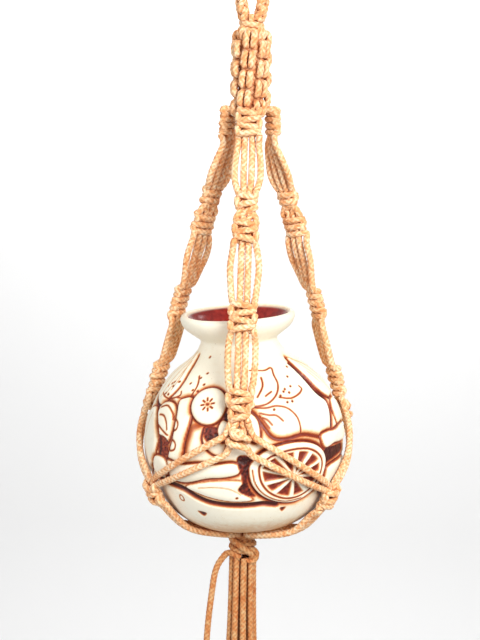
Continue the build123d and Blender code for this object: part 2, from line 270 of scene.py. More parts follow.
class Look:
    """A material, built up node by node. Each method gives the new node's output."""

    def __init__(self, name):
        self.material = bpy.data.materials.new(name)
        self.material.use_nodes = True
        self.tree = self.material.node_tree

    def feed(self, node, inputs):
        """Links these sockets to a node's inputs, or sets these values in them."""
        for key, value in inputs.items():
            if isinstance(value, bpy.types.NodeSocket):
                self.tree.links.new(value, node.inputs[key])
            else:
                node.inputs[key].default_value = value

    def node(self, kind, inputs, output=0, **settings):
        node = self.tree.nodes.new("ShaderNode" + kind)
        for key, value in settings.items():
            setattr(node, key, value)
        self.feed(node, inputs)
        return node.outputs[output]

    def attribute(self, name, output="Fac"):
        return self.node("Attribute", {}, output, attribute_name=name)

    def noise(self, vector, scale, detail):
        return self.node("TexNoise", {"Vector": vector, "Scale": scale, "Detail": detail})

    def scaled(self, vector, scale):
        return self.node("VectorMath", {0: vector, 1: scale}, operation="MULTIPLY")

    def span(self, value, **ends):
        """Maps a value from one range to another: from_min, from_max, to_min and to_max."""
        inputs = {key.replace("_", " ").title(): end for key, end in ends.items()}
        return self.node("MapRange", {"Value": value, **inputs})

    def mix(self, share, first, second, blend="MIX"):
        return self.node("Mix", {0: share, 6: first, 7: second}, 2, data_type="RGBA", blend_type=blend)

    def relief(self, height, strength, distance):
        return self.node("Bump", {"Height": height, "Strength": strength, "Distance": distance})

    def ramp(self, value, stops):
        node = self.tree.nodes.new("ShaderNodeValToRGB")
        while len(node.color_ramp.elements) < len(stops):
            node.color_ramp.elements.new(0.5)
        for element, (position, colour) in zip(node.color_ramp.elements, stops):
            element.position = position
            element.color = (*colour, 1.0)
        self.feed(node, {0: value})
        return node.outputs[0]

    def finish(self, **inputs):
        """Feeds the surface shader, and gives the material."""
        inputs = {key.replace("_", " "): value for key, value in inputs.items()}
        self.feed(self.tree.nodes["Principled BSDF"], inputs)
        return self.material


YARN_CELLS = (1.0 / 1.8, 0.5, 97.0)           # yarns along a cord, round it, and from cord to cord
FIBRE_CELLS = (0.8, 2.6, 50.0)
YARN_TONES = [(0.12, (0.58, 0.18, 0.05)), (0.34, (0.84, 0.39, 0.16)), (0.58, (0.94, 0.59, 0.32)),
              (0.82, (0.98, 0.81, 0.56))]
# Painted shade in the braid's grooves.
GROOVE_SHADE_COLOUR = (0.36, 0.10, 0.02, 1.0)
# Painted shade under the pot and on the crown.
PAINTED_SHADE_COLOUR = (0.66, 0.51, 0.36, 1.0)
# Painted shade in recesses between cords, and how far the occlusion looks.
RECESS_SHADE_COLOUR, RECESS_REACH = (0.60, 0.25, 0.09, 1.0), 0.0045


@functools.cache
def cord_material():
    """Apricot braided cord: cream and tan yarns, with painted shade in the braid's grooves, between cords,
    under the pot and on the crown, and fine fibres.
    """
    look = Look("braided_cord")
    cell = look.attribute("braid_cell", "Vector")
    whole = look.node("VectorMath", {0: look.scaled(cell, YARN_CELLS)}, operation="FLOOR")
    yarn = look.node("TexWhiteNoise", {"Vector": whole}, "Value")
    soft = look.noise(look.node("TexCoord", {}, "Object"), 60.0, 3.0)
    soft = look.node("Math", {0: soft, 1: 0.6}, operation="MULTIPLY")
    tone = look.node("Math", {0: yarn, 1: 0.45, 2: soft}, operation="MULTIPLY_ADD")
    # Painted shade: the braid's grooves are darkened where its bumps dip.
    depth = look.span(look.attribute("braid_bump"), from_min=-1.0, from_max=0.35, to_min=0.3, to_max=1.0)
    colour = look.mix(depth, GROOVE_SHADE_COLOUR, look.ramp(tone, YARN_TONES))
    # Painted shade below the pot and on the crown.
    colour = look.mix(look.attribute("braid_painted_shade"), colour, PAINTED_SHADE_COLOUR, "MULTIPLY")
    # Painted shade: the colour is darkened where other cords close in round a point.
    open_air = look.node("AmbientOcclusion", {"Distance": RECESS_REACH}, "AO", samples=6)
    recess_shade = look.span(open_air, from_min=0.12, from_max=0.62, to_min=1.0, to_max=0.0)
    fibres = look.noise(look.scaled(cell, FIBRE_CELLS), 2.2, 4.0)
    return look.finish(
        Base_Color=look.mix(recess_shade, colour, RECESS_SHADE_COLOUR, "MULTIPLY"),
        Normal=look.relief(fibres, 0.5, 0.0004),
        Roughness=look.span(fibres, to_min=0.55, to_max=0.8), Specular_IOR_Level=0.3,
        Sheen_Weight=0.16, Sheen_Roughness=0.4, Sheen_Tint=(1.0, 0.86, 0.68, 1.0))


# ---- square knots

# One bar of a square knot, as (side, out, share of the bar's height) of a knot of unit size. One working
# cord crosses in front, from the left; the other passes behind and loops over it. The next bar is mirrored.
FRONT_WORKER = [(-1.05, 0.1, 0.04), (-1.0, 0.6, 0.24), (-0.5, 1.1, 0.36), (0.5, 1.15, 0.56),
                (1.02, 0.35, 0.74), (1.1, -0.1, 1.0)]
BACK_WORKER = [(1.05, 0.1, 0.04), (1.22, 0.9, 0.28), (1.12, 0.3, 0.6), (0.5, -0.55, 0.68),
               (-0.5, -0.55, 0.68), (-1.12, 0.1, 0.7), (-1.25, 0.95, 1.0)]
KNOT_HALF_WIDTH = 6.6
KNOT_THICKNESS = 4.0
KNOT_STAND = 1.7                  # how far a knot's middle stands off its cords' line
FILLER_SIDE, FILLER_SHARES = 0.34, (0.06, 0.5, 0.94)


def knot_bars(top, bottom, bars, order, strands, half_width=KNOT_HALF_WIDTH):
    """Adds a run of knot bars to four strands, each a list of (side, out, height).

    order is the strands from left to right, and their new order is returned.
    """
    step = (top - bottom) / bars
    left, filler_left, filler_right, right = order
    for bar in range(bars):
        bar_top, mirror = top - bar * step, 1 if bar % 2 == 0 else -1
        for strand, shape in ((left, FRONT_WORKER), (right, BACK_WORKER)):
            for side, out, share in shape:
                place = (mirror * side * half_width, KNOT_STAND + out * KNOT_THICKNESS,
                         bar_top - share * step)
                strands[strand].append(place)
    for strand, sign in ((filler_left, -1), (filler_right, 1)):
        for share in FILLER_SHARES:
            strands[strand].append((sign * half_width * FILLER_SIDE, KNOT_STAND,
                                    top - share * (top - bottom)))
    return order if bars % 2 == 0 else [right, filler_left, filler_right, left]


def straight(strands, order, sides, height, out=0.0):
    """Adds one point to each strand, from left to right."""
    for strand, side in zip(order, sides):
        strands[strand].append((side, out, height))


# ---- the arms

OUTER, INNER = 9.6, 2.6           # a straight stretch's cords, from the arm's middle


def arm_strands(wide=1.0):
    """An arm's four strands, from its head knot to the gather knot, side by side as 0 1 2 3 at its top."""
    strands = [[], [], [], []]
    order = knot_bars(250, 231, 4, [0, 1, 2, 3], strands)
    for height, outer in ((225, 7.4), (212, 8.3 * wide), (199, 8.6 * wide)):
        straight(strands, order, (-outer, -INNER * wide, INNER * wide, outer), height)
    order = knot_bars(189.5, 179, 2, order, strands, 5.6)
    # The two working cords cross to the inside, and the two inner cords take over outside them.
    order = [order[1], order[3], order[0], order[2]]
    straight(strands, order, (-5.4, -4.4, 4.4, 5.4), 175, 2.2)
    straight(strands, order, (-7.4, -1.2, 1.2, 7.4), 171.5, 1.8)
    order = knot_bars(170.5, 155, 3, order, strands)
    for height, outer in ((150, 8.8), (138, OUTER * wide), (126, OUTER), (116, 8.6)):
        straight(strands, order, (-outer, -INNER, INNER, outer), height)
    order = knot_bars(113.5, 92.5, 4, order, strands, 7.2)
    for height, outer in ((88, 9.4), (78, OUTER + 0.4), (66, OUTER), (57, 8.8)):
        straight(strands, order, (-outer, -INNER, INNER, outer), height)
    order = knot_bars(53.5, 42.5, 2, order, strands, 7.2)
    knot_bars(42.5, 31, 2, order, strands, 5.2)
    return strands


def add_gather(strands):
    """Adds the gather knot, from order 2 3 0 1. The outer strands lead off; the inner two knot between."""
    strands[2] += [(-7.6, 1.8, 27), (-9.8, 1.8, 21)]
    strands[1] += [(7.6, 2.4, 27), (9.8, 1.8, 21)]
    strands[3] += [(-3.0, 2.2, 28), (-5.4, 3.6, 24.5), (-3.4, 6.6, 21.8), (3.0, 6.8, 20.8), (7.2, 3.4, 19.6),
                   (5.6, -0.6, 18.2), (0.0, -0.9, 16.8), (-5.6, 0.2, 15.0), (-7.4, 1.8, 11.6),
                   (-8.6, 1.2, 8.6)]
    strands[0] += [(3.0, 1.0, 28), (4.4, 0.6, 24), (2.0, -0.6, 21), (-5.0, 0.0, 19.6), (-7.8, 2.8, 17.6),
                   (-4.8, 6.4, 15.8), (2.0, 7.0, 14.8), (6.8, 4.2, 12.8), (8.2, 1.6, 9.0)]


def add_gather_turn(cords, azimuth):
    """The small round turn of cord on the front of a gather knot."""
    turn = [on_arm(azimuth, -0.6 + 3.6 * math.cos(angle), 5.2 + 0.12 * angle, 22.4 + 2.3 * math.sin(angle))
            for angle in np.linspace(0.4, 7.4, 12)]
    cords.add(cord_line(turn), radius=2.3)


def sphere_walk(first, last, shares):
    """Points at these shares of the way round the pot between two places on it."""
    first, last = first - POT_CENTRE, last - POT_CENTRE
    walk = []
    for share in shares:
        mixed = first * (1 - share) + last * share
        radius = np.linalg.norm(first) * (1 - share) + np.linalg.norm(last) * share
        walk.append(POT_CENTRE + mixed / np.linalg.norm(mixed) * radius)
    return walk


class Strand:
    """One cord from an arm's head to the base knot: its even points and where its stretches end."""

    def __init__(self, controls, marks):
        self.line, self.along = evenly(nurbs_line(controls))
        self.cuts = {}
        for name, place in marks.items():
            self.cuts[name] = int(np.argmin(np.linalg.norm(self.line - place, axis=1)))
        self.tone = random.random()

    def place(self, mark):
        """Where a stretch ends."""
        return self.line[self.cuts[mark]]

    def add_to(self, cords, first, last, overlap=0):
        a, b = self.cuts[first], self.cuts[last] + 1 + overlap
        cords.add(self.line[a:b], start=self.along[a], strand=self.tone)


# ---- whole strands

# For each joint, the arm at its left and the arm at its right, seen from outside.
JOINT_ARMS = {"right": ("front", "right"), "back": ("right", "left"), "left": ("left", "front")}
ARM_WIDTHS = {"front": 1.12, "right": 1.2, "left": 1.2}
ARM_MARKS = {"head": 229.0, "upper_top": 191.0, "upper_low": 153.5, "middle_top": 114.0, "middle_low": 93.0,
             "lower_top": 54.5, "lower_low": 31.0}
ARM_NODES = ("head_knot", "upper_cords", "upper_knot", "middle_cords", "middle_knot", "lower_cords",
             "lower_knot", "gather_knot")
LANE_TURNS = (-6.3, -2.1, 2.1, 6.3)           # degrees from a joint knot's middle, below it
LANE_FEET = (-45, -15, 15, 45)                # and in under the foot
JOINT_KNOT = {"top": 8.5, "bottom": -7.5, "bars": 3, "half_width": 6.4}
OUTER_ENTRY, INNER_ENTRY, ENTRY_OUT = (9.5, 9.0), (4.6, 12.5), 0.6   # net cords enter at (side, up), out
NET_SHARES = (0.12, 0.35, 0.6, 0.85)
UNDER_STEPS = [(1.0, JOINT_ELEVATION - 10, 0.3), (1.2, -44.0, 0.3), (1.8, -53.0, 0.5)]
FOOT_STEPS = [(27.0, -67.4), (12.0, -69.8), (6.4, -74.5), (5.6, -88.0)]
COLUMN_AZIMUTHS = {("front", 0): -24, ("front", 1): 36, ("right", 0): 96, ("right", 1): 156,
                   ("left", 0): -144, ("left", 1): -84}
CROWN_TOP, CROWN_BOTTOM = 305.0, 248.0
CROWN_LAYER = 14.2
CROWN_TURN = 24                   # degrees that the columns spiral by, from the crown's bottom to its top
CORE_R = 9.3                      # the cords hidden in the crown's middle, as one
CROWN_ARCH = [(0.2, 4.0), (0.19, 9.0), (0.2, 12.6), (0.5, 13.0), (0.8, 12.6), (0.81, 9.0), (0.8, 4.0)]


def polar(azimuth, radius, c_height):
    return outward(azimuth) * radius + UP * (POT_Z + c_height)


def crown_route(column, member, offset):
    """One cord of a crown column: it arches out and tucks back in once a layer."""
    route = [polar(column + CROWN_TURN + member * 9, 5.0, CROWN_TOP + 6)]
    top = CROWN_TOP + 2 - offset * CROWN_LAYER / 2
    if offset:
        route.append(polar(column + CROWN_TURN + member * 11, 11.4, CROWN_TOP - 1))
    layer = 0
    while top - layer * CROWN_LAYER > CROWN_BOTTOM + 3:
        layer_top = top - layer * CROWN_LAYER
        for share, radius in CROWN_ARCH:
            c_height = layer_top - share * CROWN_LAYER
            spiral = CROWN_TURN * (c_height - CROWN_BOTTOM) / (CROWN_TOP - CROWN_BOTTOM)
            spread = 13.0 if radius > 8 else 26.0
            route.append(polar(column + spiral + member * spread, radius, c_height))
        layer += 1
    route.append(polar(column + member * 11, 10.6, CROWN_BOTTOM + 1))
    return route


def joint_lanes(joint):
    """The four strands at a joint, from left to right. 0 and 1 leave an arm to the right, 2 and 3 left."""
    left_arm, right_arm = JOINT_ARMS[joint]
    return [(left_arm, 0), (left_arm, 1), (right_arm, 2), (right_arm, 3)]


def build_strands():
    """All twelve strands, from the binding to the base knot."""
    routes, marks = {}, {}
    for arm, azimuth in ARMS.items():
        strands = arm_strands(ARM_WIDTHS[arm])
        add_gather(strands)
        for number, strand in enumerate(strands):
            column = COLUMN_AZIMUTHS[arm, 0 if number < 2 else 1]
            head = crown_route(column, -1 if number in (0, 2) else 1, 0 if number < 2 else 1)
            body = [on_arm(azimuth, *point) for point in strand]
            routes[arm, number] = head + body
            marks[arm, number] = {"start": head[0], "crown": body[0], "gather": body[-1]}
            for mark, c_height in ARM_MARKS.items():
                marks[arm, number][mark] = min(body, key=lambda place: abs(place[2] - POT_Z - c_height))
    for joint, azimuth in JOINTS.items():
        knot = [[], [], [], []]
        leaving = knot_bars(order=[0, 1, 2, 3], strands=knot, **JOINT_KNOT)
        for lane, key in enumerate(joint_lanes(joint)):
            side, up = OUTER_ENTRY if lane in (0, 3) else INNER_ENTRY
            entry = near_joint(azimuth, -side if lane < 2 else side, ENTRY_OUT, up)
            routes[key] += sphere_walk(routes[key][-1], entry, NET_SHARES) + [entry]
            routes[key] += [near_joint(azimuth, *point) for point in knot[lane]]
            marks[key].update(net=entry, joint=routes[key][-1])
            turn, foot = LANE_TURNS[leaving.index(lane)], azimuth + LANE_FEET[leaving.index(lane)]
            routes[key] += [on_pot(azimuth + turn * spread, elevation, CRADLE_R + off)
                            for spread, elevation, off in UNDER_STEPS]
            routes[key] += [polar(foot, radius, c_height) for radius, c_height in FOOT_STEPS]
            marks[key]["end"] = routes[key][-1]
    return {key: Strand(route, marks[key]) for key, route in routes.items()}


def make_hanger():
    strands = build_strands()
    crown = CordMesh()
    for strand in strands.values():
        strand.add_to(crown, "start", "crown", 3)
    core = [polar(0, 0.3, CROWN_TOP + 2), polar(90, 0.3, CROWN_TOP - 25), polar(180, 0.3, CROWN_BOTTOM - 4)]
    crown.add(cord_line(core), radius=CORE_R)
    crown.make("crown_sinnet", "hanger", "cords")
    ends = ("crown", *ARM_MARKS, "gather")
    for arm, azimuth in ARMS.items():
        for node, first, last in zip(ARM_NODES, ends, ends[1:]):
            cords = CordMesh()
            for number in range(4):
                strands[arm, number].add_to(cords, first, last)
            if node == "gather_knot":
                add_gather_turn(cords, azimuth)
            cords.make(f"{node}_{arm}", "hanger" if node == "head_knot" else f"arm_{arm}")
    for joint in JOINTS:
        lanes = joint_lanes(joint)
        for pair in (lanes[:2], lanes[2:]):
            cords = CordMesh()
            for key in pair:
                strands[key].add_to(cords, "gather", "net")
            arm = pair[0][0]
            piece = cords.make(f"net_cords_{arm}_to_{joint}")
            start, end = strands[pair[0]].place("gather"), strands[pair[1]].place("net")
            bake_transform(piece)
        knot, under = CordMesh(), CordMesh()
        for key in lanes:
            strands[key].add_to(knot, "net", "joint")
            strands[key].add_to(under, "joint", "end")
        knot.make(f"joint_knot_{joint}", "hanger")
        under.make(f"under_cords_{joint}", "hanger")


# ---- loop, binding and base knot

LOOP_ROUTE = [(-5.0, 0, -66), (-6.4, 0, -62), (-9.0, 0, -46), (-12.0, 0, -28), (-15.6, 0, -12), (-14.5, 0, 3),
              (-6.5, 0, 7.2)]     # one leg and half the top; the other half mirrors it
PLAIT_LENGTH, PLAIT_REACH, PLAIT_THICKNESS, PAIR_SIDE, PAIR_LIFT = 27.0, 3.9, 2.1, 2.1 * 0.85, 0.9


def make_loop():
    """A flat three-part plait of doubled cords, up one leg, over the eye and down the other."""
    line, along = evenly(nurbs_line(LOOP_ROUTE + [(-x, y, z) for x, y, z in LOOP_ROUTE[::-1]]))
    tangents = np.gradient(line, axis=0)
    tangents /= np.linalg.norm(tangents, axis=1)[:, None]
    flat = np.array([0.0, 1.0, 0.0])
    rise = np.cross(tangents, flat)
    cords = CordMesh()
    for part in range(3):
        phase = 2 * math.pi * (along / PLAIT_LENGTH + part / 3)
        side = PLAIT_REACH * np.sin(phase)
        lift = PLAIT_THICKNESS * np.sin(2 * phase)
        for member in (-1, 1):
            across = flat * (side + member * PAIR_SIDE)[:, None]
            path = line + across + rise * (lift - member * np.cos(phase) * PAIR_LIFT)[:, None]
            cords.add(evenly(path)[0], radius=2.25)
    cords.make("hanging_loop", "hanger", "plait")


def ring_route(radius, c_height, rise, turns, start=0.0, wobble=0.0):
    """Control points of a cord wound about the axis."""
    count = int(turns * 8) + 1
    route = []
    for step in range(count):
        share = step / (count - 1)
        azimuth = start + share * turns * 360
        route.append(polar(azimuth, radius + wobble * math.sin(3.1 * step), c_height + rise * share))
    return route


def make_binding():
    cords = CordMesh()
    cords.add(cord_line(ring_route(radius=7.6, c_height=314.6, rise=-9.6, turns=2.1, start=40, wobble=0.4)))
    for azimuth in range(0, 360, 60):
        cords.add(cord_line([polar(azimuth, 4.6, 318), polar(azimuth, 4.0, 310), polar(azimuth, 4.8, 302)]))
    cords.make("loop_binding", "hanger", "turns")


# The base knot's single cords, as places about the pot's centre: one that crosses the turns, a small loop
# beside it, a bump on its left and the root of the binding's end.
BASE_KNOT_CORDS = [
    (CORD_R, [(-6, -6, -69), (-9.6, -6.2, -74), (-3, -11.2, -79), (4.4, -11.2, -84), (8.8, -8.0, -88),
              (7.0, -5.0, -93)]),
    (2.1, [(4.0, -8.0, -84), (9.4, -8.4, -83), (11.6, -7.0, -87), (10.2, -7.0, -92.5), (6.0, -7.5, -94),
           (2.5, -7, -92)]),
    (2.2, [(-5, -3, -69), (-10.6, -5, -70.5), (-12.2, -5, -74.0), (-6, -3, -77)]),
    (CORD_R, [(-1.0, -8.4, -90.5), (-6.0, -7.6, -88.2), (-10.2, -5.2, -87.4), (-12.9, -4.7, -89.1),
              (-14.4, -5.1, -90.8)]),
]


def make_base_knot():
    """Loose turns about the strands, with the single cords."""
    cords = CordMesh()
    cords.add(cord_line(ring_route(radius=8.9, c_height=-68.8, rise=-21.1, turns=3.8, start=20, wobble=0.5)))
    for radius, route in BASE_KNOT_CORDS:
        cords.add(cord_line([(x, y, POT_Z + c_height) for x, y, c_height in route]), radius=radius)
    cords.make("base_knot", "hanger", "turns")


# ---- the tassel's free cords

TASSEL_ROUTES = [
    [(2.6, 1.5, -93), (2.8, 1.7, -130), (3.3, 1.6, -168), (4.2, 2.0, -206), (4.8, 2.6, -244)],
    [(-2.6, 1.5, -93), (-2.9, 1.6, -128), (-3.3, 2.2, -165), (-3.9, 2.4, -203), (-4.8, 2.2, -240)],
    [(0, -3.0, -93), (0.2, -3.3, -131), (-0.2, -4.0, -170), (0.3, -4.6, -209), (0.9, -5.6, -249)],
    [(8.2, 0.2, -91), (8.6, 0.3, -128), (9.9, 0.2, -166), (12.0, 0.8, -204), (13.2, 1.6, -242)],
    [(6.3, 5.3, -91), (6.6, 5.6, -127), (7.6, 6.2, -164), (9.0, 7.9, -201), (9.8, 9.6, -238)],
    [(1.4, 8.1, -91), (1.5, 8.5, -129), (1.8, 9.9, -168), (2.6, 11.4, -207), (2.5, 13.1, -246)],
    [(-4.1, 7.1, -91), (-4.3, 7.5, -126), (-5.3, 8.4, -162), (-6.0, 10.1, -198), (-7.4, 11.4, -234)],
    [(-7.7, 2.8, -91), (-8.1, 2.9, -130), (-9.4, 3.6, -169), (-11.0, 3.9, -209), (-12.6, 4.8, -248)],
    [(-7.7, -2.8, -91), (-8.0, -3.0, -128), (-9.2, -3.2, -166), (-11.1, -4.2, -204), (-12.2, -4.4, -243)],
    [(-4.1, -7.1, -91), (-4.4, -7.4, -130), (-5.0, -8.7, -170), (-6.3, -9.9, -210), (-7.0, -11.6, -251)],
    [(1.4, -8.1, -91), (1.4, -8.5, -127), (2.1, -9.7, -164), (2.0, -11.5, -202), (2.9, -12.8, -239)],
    [(6.3, -5.3, -91), (6.6, -5.5, -129), (7.7, -6.6, -167), (8.7, -7.8, -206), (10.2, -8.8, -246)],
]
WRAP_TAIL_ROUTE = [
    (-12.6, -4.6, -89), (-17.6, -6.0, -94.6), (-21.0, -7.2, -104), (-22.6, -8.2, -118),
    (-25.0, -9.2, -139), (-26.6, -9.6, -164), (-26.2, -8.8, -190),
]


def free_cord(node, route):
    """A free cord: a braided tube along its NURBS line, out of the base knot."""
    line, along = evenly(nurbs_line([POT_CENTRE + np.array(point) for point in route]))
    cords = CordMesh()
    cords.add(line, taper=1.6)
    piece = cords.make(node)
    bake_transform(piece)


# ---- the pot's carved decoration

PLAIN_R = 74.7                    # the glazed body between carvings
# Places are (azimuth, elevation) in degrees about the pot's centre, in the pot's own tilted frame.
VEINED_LEAF = [(-70, 67), (-62, 61), (-55, 53), (-52, 46), (-53, 40), (-58, 34), (-65, 29), (-76, 32),
               (-84, 39), (-88, 47), (-86, 56), (-79, 63)]
LEAF_VEINS = [[(-71, 65), (-67, 53), (-67, 42), (-68, 33)], [(-66, 60), (-60, 48), (-62, 36)], [(-74, 60),
              (-76, 48), (-73, 36)], [(-79, 58), (-82, 49), (-79, 39)], [(-62, 55), (-57, 47), (-58, 39)]]
EDGE_LEAF = [(-72, 27), (-84, 22), (-94, 16), (-96, 6), (-90, -5), (-82, -13), (-72, -13), (-62, -4),
             (-57, 7), (-57, 14), (-62, 22)]
EDGE_LEAF_VEINS = [[(-70, 23), (-74, 12), (-76, 0), (-76, -10)], [(-82, 18), (-86, 8), (-83, -3)]]
LEFT_GAP = [(-92, 52), (-90, 40), (-80, 31), (-70, 28), (-62, 22), (-56, 14), (-53, 6), (-57, -1), (-66, -8)]
CURLED_LEAF = [(-62, 30), (-54, 33), (-46, 31), (-43, 24), (-44, 14), (-47, 9), (-54, 8), (-57, 14),
               (-63, 23)]
CURLS_LEFT = [[(-60, 28), (-53, 30), (-46, 27), (-44, 23)], [(-58, 24), (-53, 24), (-49, 21), (-47, 17)],
              [(-56, 18), (-51, 16), (-46, 14)]]
STICK = [(-44, 34), (-39, 37), (-33, 37), (-31, 30), (-31, 22), (-33, 12), (-35, 1), (-40, 0), (-45, 1),
         (-44, 6), (-42, 13), (-42, 25)]
HALF_RINGS = [[(-42.5, 17), (-39, 18), (-38.3, 21), (-40, 23), (-42.5, 23.5)],
              [(-43.4, 11), (-40.5, 12), (-38.3, 10), (-39, 7), (-42.3, 6), (-43.6, 8)]]
STICK_GAP = [(-23, 22), (-28, 20), (-30, 15), (-31.6, 9), (-33, 1)]
FLOWER_CENTRE, FLOWER_R = (-19.5, 33.6), 14.2
UNDER_FLOWER = [(-20, 21), (-12, 21), (-10.5, 15), (-13, 11), (-17, 12), (-20, 15)]
SMALL_PETAL = [(-11.8, 19), (-9.2, 25), (-5, 23), (-5, 16), (-9, 13)]
UNDER_LEAF = [(-20.5, 21), (-21.3, 14), (-18.7, 9), (-14, 5.6), (-9, 5), (-6.8, 9), (-6.4, 13)]
BERRIES_MIDDLE = [(-8.6, 29), (-2, 30), (-1, 23), (-7, 23)]
BOTTOM_LEAF = [(-47, 0), (-36, -1), (-24, 0.6), (-14, 0.4), (-4, 1.4), (0.5, -1), (-0.5, -5.4), (-8, -7.4),
               (-19, -8.4), (-34, -12), (-45, -10)]
JOINT_LEAF = [(-60, 0), (-50, 1), (-46, -4), (-48, -10), (-56, -13), (-63, -8)]
MIDDLE_RECESS = [(-1, 3), (3, 5.4), (7.6, 3), (7, -3), (4.6, -8), (5.4, -14), (8.8, -20), (2, -19),
                 (-2, -15.5), (1.1, -9.3)]
LOWER_LEAF = [(-34, -14), (-19, -10), (-4, -9), (1.6, -10.6), (-1, -15.6), (7, -21.4), (0, -23), (-13, -21.6),
              (-26, -18)]
LOWER_LEAF_VEIN = [(-25, -14), (-15, -13), (-6, -14), (0, -18)]
SMILE = [(-60, -13), (-50, -14), (-43, -15), (-36, -16.4), (-28, -20.6), (-19.5, -23.8), (-6, -25.6),
         (6, -25.8), (14, -25.6), (22, -27.4)]
DOTS = [(-39, 65), (-30, 54), (-34.5, 50.3), (-42, 45.8), (-28, 46), (-36.4, 41.8), (-31.7, 41.6),
        (-2.5, -20), (55, 54), (46, 47.4), (43, 41), (37, 40), (39.2, 37.4), (31.4, 36.5), (35, 38.6),
        (38.7, 32), (34.8, 32), (24, 29)]
NOTCHES = [[(-31.4, -31), (-25, -32), (-28.4, -35)], [(24.8, -30), (29, -30), (27, -33)],
           [(-50, -10), (-47, -9), (-48, -14)]]
LINES = [
    [(-48, 36), (-40.4, 36.8), (-35, 40.2), (-33.8, 45.7), (-37.3, 51.6)],
    [(-1, 48), (-3.4, 44)],
    [(13, 56), (27, 54.8), (36, 56), (34, 50.4), (33.2, 43.5), (28, 37), (20, 32.8), (10, 31.8)],
    [(21.4, 49.9), (20.3, 43.9), (14.6, 37.4)], [(20.6, 37.6), (25.8, 39.9)], [(7, 54), (4, 47), (6, 39)],
    [(8.4, 31.7), (18.5, 30.6), (26.2, 31), (33.5, 28.7), (38.2, 23.2), (39, 17.6), (38.2, 13.5)],
    [(14, 28), (19.7, 26.4), (24.7, 25.6), (28.4, 22)], [(15.5, 25.2), (18.4, 23.8), (21, 20.6)],
    [(14, 26.6), (19, 19)],
    [(30.2, 35.7), (38.5, 34), (46.4, 35.3), (51.8, 37.7), (51, 40)],
]
RIGHT_CONTOUR = [(7.5, 31), (12, 26.4), (16, 19.6), (20.4, 13.6), (28, 11.8), (39, 12.6), (47, 10.6), (54, 8)]
OVAL = [(4, 29), (9.5, 28), (13, 23), (13, 14.5), (9.5, 12), (5.5, 16)]
ORANGE = [(5.4, -2), (6.4, -11.5), (12.6, -20), (25, -26), (38, -26.4), (51, -19), (56, -7), (53, 1.6),
          (43.4, 7.6), (29.7, 9.6), (16.2, 7.4), (9, 3)]
ORANGE_FLESH = [(11, -2.5), (12, -10.5), (17, -17.6), (27, -22.6), (38, -22.2), (48, -15.8), (51.4, -7),
                (49, -0.6), (41, 4.4), (29.7, 5.6), (19, 3.8), (13.4, 0.6)]
ORANGE_CENTRE, SEGMENTS = (31.0, -9.6), 11
ORANGE_RIND = [(7.4, -3), (8.6, -11), (14.4, -18.8), (26, -24.4), (38, -24.4)]
BERRIES_LEFT = [(-56, 12), (-47, 12), (-45, 4), (-48, -1), (-56, 2)]
RIGHT_LEAF = [(70, 60), (78, 55), (88, 47), (94, 38), (95, 29), (88, 25), (78, 27.5), (70, 34), (67, 43),
              (66, 52)]
RIGHT_LEAF_VEINS = [[(71, 57), (77, 46), (84, 36), (88, 29)], [(80, 50), (86, 41)], [(72, 46), (77, 37)]]
RIGHT_GAP = [(64, 55), (64, 44), (66, 34), (73, 27), (72, 20), (67, 12)]
SIDE_LEAF = [(80, 25), (92, 24), (98, 14), (92, 8), (78, 9), (75, 18)]
RIBBON = [(53, 9), (60, 10.4), (70, 9.4), (84, 10), (92, 5.6), (90, 0), (76, 0.6), (66, 2), (56, 1.6)]
RIBBON_GAP = [(56, 0.4), (68, 0.4), (84, -2), (88, -7), (74, -7), (60, -8), (57.5, -10)]
LOW_RIGHT_LEAF = [(59, -10), (72, -9), (88, -10), (92, -18), (80, -24), (64, -27), (55, -24), (57, -16)]
BACK_LEAVES = [(128, 20, 24, 13, 40), (236, 30, 26, 13, -35), (152, -12, 26, 12, -8), (212, -14, 27, 12, 12)]
BACK_FLOWERS = [((180, 34), 14.2), ((140, 46), 9.5), ((222, 0), 10.5)]


def directions(azimuths, elevations):
    azimuths, elevations = np.radians(azimuths), np.radians(elevations)
    level = np.cos(elevations)
    return np.stack([np.sin(azimuths) * level, -np.cos(azimuths) * level, np.sin(elevations)], axis=-1)


def smooth(corners, steps):
    """Points of a smooth line from the second of these corners up to the last but one, which is left out."""
    share = np.linspace(0.0, 1.0, steps, endpoint=False)[:, None]
    return np.concatenate([
        0.5 * (2 * b + (c - a) * share + (2 * a - 5 * b + 4 * c - d) * share**2
               + (3 * b - 3 * c + d - a) * share**3)
        for a, b, c, d in zip(corners, corners[1:], corners[2:], corners[3:])])


def rounded(places, closed=True):
    """A smooth line through (azimuth, elevation) places, as unit vectors. Unit vectors stay as they are."""
    if isinstance(places, np.ndarray):
        return places
    corners = directions(*np.array(places, float).T)
    if closed:
        line = smooth(np.concatenate([corners[-1:], corners, corners[:2]]), 6)
    else:
        line = np.concatenate([smooth(np.concatenate([corners[:1], corners, corners[-1:]]), 6), corners[-1:]])
    return line / np.linalg.norm(line, axis=1)[:, None]


def ease(value):
    value = np.clip(value, 0.0, 1.0)
    return value * value * (3 - 2 * value)


HALO_WIDTH, LINE_WIDTH = 4.0, 0.7     # of the stain outside a raised shape, and just inside its outline
LINE_STAIN = 0.75
GAP_SHARE = 0.7                   # how deep in its gap a raised shape's edge starts
HOLLOW_EDGE, HOLLOW_SLOPE = 0.9, 2.2
MOST_BERRIES = 160
STAR_INNER, STAR_OUTER, PETALS = 2.3, 3.7, 8  # the star in a flower's middle
LOWEST, HIGHEST, DARKEST = -2.6, 1.5, 1.3


